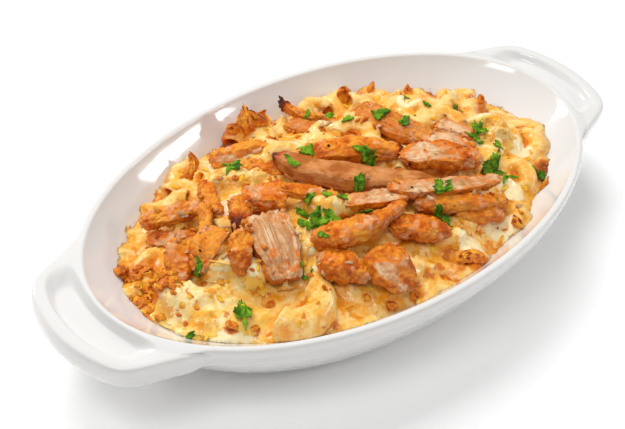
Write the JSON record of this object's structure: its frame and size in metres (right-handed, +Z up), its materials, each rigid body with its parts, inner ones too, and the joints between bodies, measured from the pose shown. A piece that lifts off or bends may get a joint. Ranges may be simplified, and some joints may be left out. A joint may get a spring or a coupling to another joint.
{
  "type": "baked macaroni and cheese in a gratin dish",
  "caption": "Oval white gratin dish with lug handles, filled with baked macaroni and cheese under torn roasted chicken, melted cheese and parsley.",
  "frame": {"origin": "on the table under the middle of the dish", "axes": "+X along the dish's long axis towards one lug handle, +Z up"},
  "size_m": [0.285, 0.146, 0.0545],
  "materials": {
    "white_glaze": "glossy white glaze",
    "cheese_sauce": "soft pasta in a satin cheese sauce, browned in places",
    "melted_cheese": "smooth melted cheese with a soft gloss",
    "roast_chicken": "roasted skin over pale fibrous meat",
    "parsley": "fresh leaf"
  },
  "bodies": {
    "root": {"gratin_dish": "white_glaze", "macaroni_heap": "cheese_sauce", "melted_cheese_far": "melted_cheese", "melted_cheese_left": "melted_cheese", "melted_cheese_middle": "melted_cheese", "melted_cheese_near": "melted_cheese", "melted_cheese_right": "melted_cheese", "chicken_far_shred": "roast_chicken", "chicken_far_slice": "roast_chicken", "chicken_side_chunk": "roast_chicken", "chicken_left_bend": "roast_chicken", "chicken_left_under": "roast_chicken", "chicken_right_chunk": "roast_chicken", "chicken_near_slab": "roast_chicken", "chicken_left_square": "roast_chicken", "chicken_far_pale": "roast_chicken", "chicken_near_round": "roast_chicken", "chicken_near_curl": "roast_chicken", "chicken_upper_strip": "roast_chicken", "chicken_far_curl": "roast_chicken", "chicken_left_strip": "roast_chicken", "chicken_far_fold": "roast_chicken", "chicken_right_under": "roast_chicken", "chicken_far_wedge": "roast_chicken", "chicken_left_crumb": "roast_chicken", "chicken_left_fold": "roast_chicken", "chicken_mid_strip": "roast_chicken", "chicken_mid_left": "roast_chicken", "chicken_mid_pale": "roast_chicken", "chicken_dark_end": "roast_chicken", "chicken_left_narrow": "roast_chicken", "chicken_right_strip": "roast_chicken", "chicken_wedge_edge": "roast_chicken", "chicken_long": "roast_chicken", "chicken_far_lobe": "roast_chicken", "chicken_near_wedge": "roast_chicken", "chicken_big_wedge": "roast_chicken", "parsley_near": "parsley", "parsley_left": "parsley", "parsley_far": "parsley", "parsley_right": "parsley", "parsley_top": "parsley", "parsley_long": "parsley", "parsley_front": "parsley", "parsley_middle": "parsley", "parsley_edge": "parsley", "parsley_melt": "parsley"}
  },
  "joints": []
}
